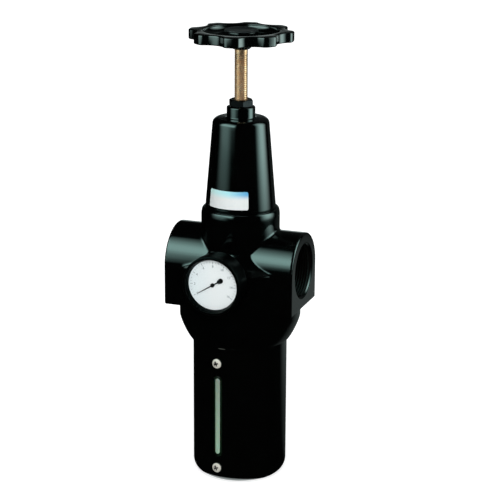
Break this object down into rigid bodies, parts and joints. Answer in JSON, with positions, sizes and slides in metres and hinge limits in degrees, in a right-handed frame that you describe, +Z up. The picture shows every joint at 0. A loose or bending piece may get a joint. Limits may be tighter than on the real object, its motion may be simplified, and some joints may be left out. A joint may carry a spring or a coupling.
{
  "type": "filter regulator",
  "caption": "Compressed-air filter regulator: metal bowl with a sight glass, side ports, round gauge, tapered spring bonnet and a lobed handwheel on a long brass screw",
  "frame": {"origin": "the middle of the part's box, on the plane of the bowl's foot", "axes": "+Z up along the stem and bowl, +X from the inlet to the outlet port, -Y to the front, where the gauge faces"},
  "size_m": [0.119, 0.1272, 0.4048],
  "materials": {
    "black_paint": "smooth gloss black paint on a die casting",
    "black_plastic": "black moulded plastic, satin to gloss",
    "inner_plastic": "dark grey moulded plastic",
    "brass": "turned brass",
    "zinc_plate": "zinc-plated steel",
    "spring_steel": "oiled spring wire",
    "blackened_steel": "blackened steel",
    "rubber": "black moulded rubber",
    "sintered_filter": "off-white sintered filter element",
    "dial_white": null,
    "clear_lens": "clear flat gauge lens",
    "sight_glass": "clear moulded sight bar, grey-green from the dark bowl behind it"
  },
  "bodies": {
    "body": {"valve_body": "black_paint", "bonnet": "black_paint", "diaphragm": "rubber", "main_spring": "spring_steel", "valve_spring": "spring_steel", "valve_housing": "brass", "valve_cap": "brass", "deflector": "inner_plastic", "filter_element": "sintered_filter", "element_stud": "zinc_plate", "baffle": "inner_plastic", "baffle_nut": "zinc_plate", "gauge_socket": "brass", "gauge_case": "blackened_steel", "gauge_dial": "dial_white", "gauge_lens": "clear_lens", "gauge_bezel": "blackened_steel", "rear_plug": "zinc_plate"},
    "spring_seat": {"upper_spring_seat": "zinc_plate"},
    "wheel": {"handwheel": "black_plastic", "wheel_cap": "black_plastic", "wheel_nut": "zinc_plate", "adjusting_screw": "brass"},
    "lock_nut": {"lock_nut": "blackened_steel"},
    "valve": {"valve_poppet": "brass", "valve_seal": "rubber", "relief_seat": "brass", "lower_spring_plate": "zinc_plate", "diaphragm_nut": "zinc_plate"},
    "pointer": {"gauge_pointer": "blackened_steel"},
    "bowl_ring": {"bowl_seal": "rubber"},
    "bowl": {"bowl": "black_paint", "sight_lens": "sight_glass", "sight_gasket": "rubber", "sight_clamp": "zinc_plate", "sight_screw_lower": "zinc_plate", "sight_screw_upper": "zinc_plate", "drain_body": "brass", "drain_nut": "zinc_plate"},
    "drain": {"drain_knob": "black_plastic"}
  },
  "joints": [
    {"name": "screw_travel", "type": "slide", "parent": "body", "child": "spring_seat", "axis": [0, 0, 1], "range_m": [-0.0245, 0], "deforming": ["main_spring"]},
    {"name": "handwheel_turn", "type": "hinge", "parent": "spring_seat", "child": "wheel", "pos_m": [0, 0.00965, 0.4], "axis": [0, 0, 1], "range_deg": [-5040, 0]},
    {"name": "lock_nut_turn", "type": "hinge", "parent": "body", "child": "lock_nut", "pos_m": [0, 0.00965, 0.341], "axis": [0, 0, 1], "range_deg": [0, 90]},
    {"name": "valve_lift", "type": "slide", "parent": "body", "child": "valve", "axis": [0, 0, 1], "range_m": [-0.003, 0], "stiffness_N_per_m": 1500, "springref_m": 0.006, "deforming": ["valve_spring", "diaphragm"]},
    {"name": "pointer_turn", "type": "hinge", "parent": "body", "child": "pointer", "pos_m": [0, -0.06, 0.195], "axis": [0, 1, 0], "range_deg": [0, 244], "stiffness_Nm_per_rad": 0.001},
    {"name": "bowl_travel", "type": "slide", "parent": "body", "child": "bowl_ring", "axis": [0, 0, 1], "range_m": [-0.014, 0]},
    {"name": "bowl_turn", "type": "hinge", "parent": "bowl_ring", "child": "bowl", "pos_m": [0, 0.00965, 0.07], "axis": [0, 0, 1], "range_deg": [-2520, 0]},
    {"name": "drain_turn", "type": "hinge", "parent": "bowl", "child": "drain", "pos_m": [0, 0.00965, 0.006], "axis": [0, 0, 1], "range_deg": [0, 90]}
  ],
  "couplings": [
    {"joint": "screw_travel", "follows": "handwheel_turn", "m_per_rad": 0.00027852},
    {"joint": "bowl_travel", "follows": "bowl_turn", "m_per_rad": 0.00031831}
  ]
}
